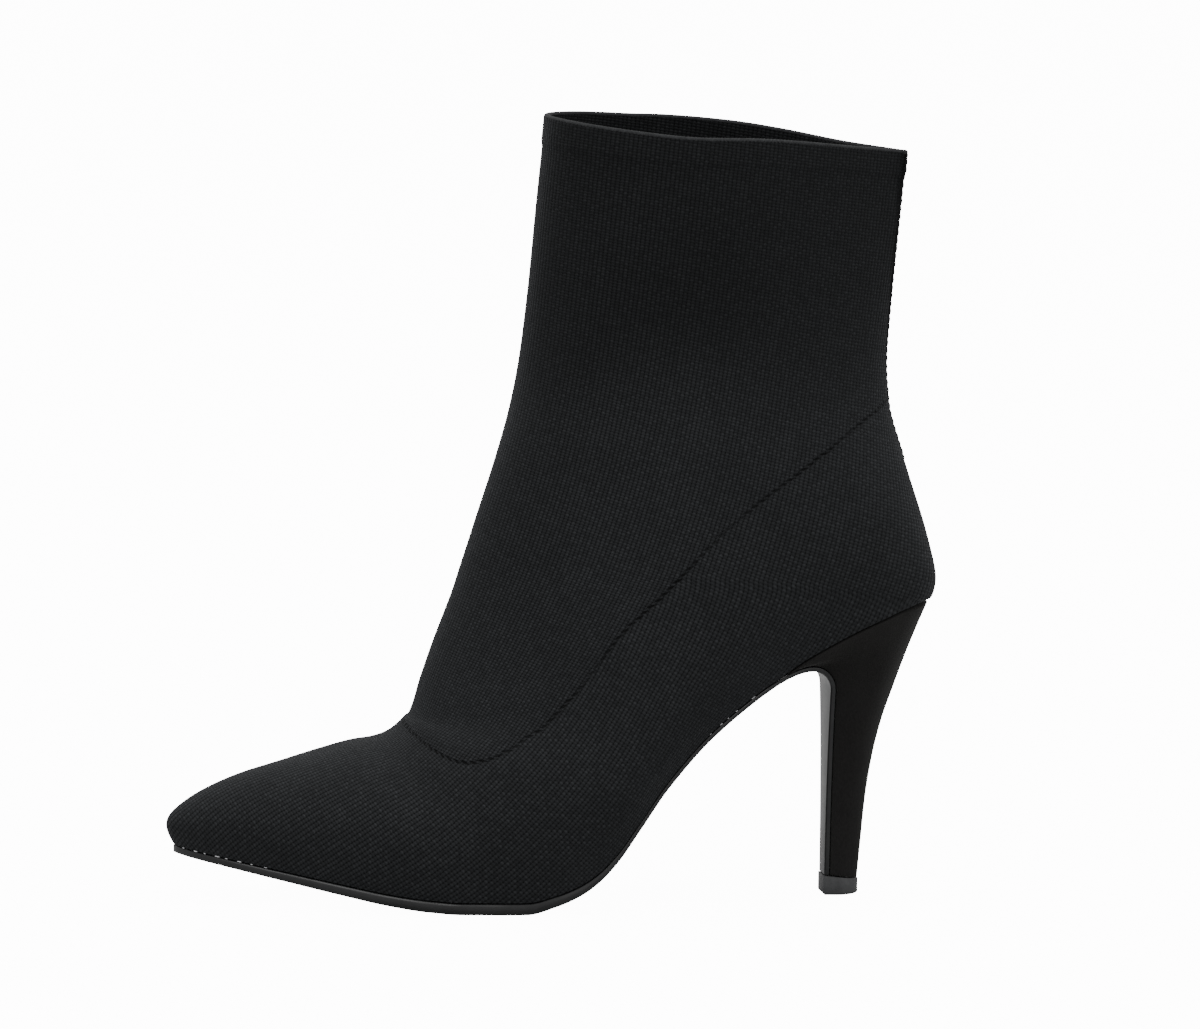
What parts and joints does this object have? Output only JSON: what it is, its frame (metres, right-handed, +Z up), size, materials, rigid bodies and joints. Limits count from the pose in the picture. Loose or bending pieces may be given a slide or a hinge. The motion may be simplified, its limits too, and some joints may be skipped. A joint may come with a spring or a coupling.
{
  "type": "sock boot",
  "caption": "Black knit sock boot, left foot, with a pointed toe, a thin covered high heel with a breast flap and a pull-on collar.",
  "frame": {"origin": "on the floor under the middle of the top lift, in the middle plane of the heel", "axes": "-X towards the toe, +X towards the back of the heel, -Y the outer (lateral) side, +Y the inner (medial) side, +Z up"},
  "size_m": [0.2333, 0.08, 0.2382],
  "materials": {
    "knit": "matt black stretch knit",
    "lining": "matt black sock lining over board",
    "sole": "satin black, grey on the breast flap",
    "heel_cover": "matt suede-like cover over a moulded core",
    "lift_rubber": "dull dark grey rubber"
  },
  "bodies": {
    "root": {"upper": "knit", "insole": "lining", "outsole": "sole", "heel": "heel_cover", "top_lift": "lift_rubber"}
  },
  "joints": []
}
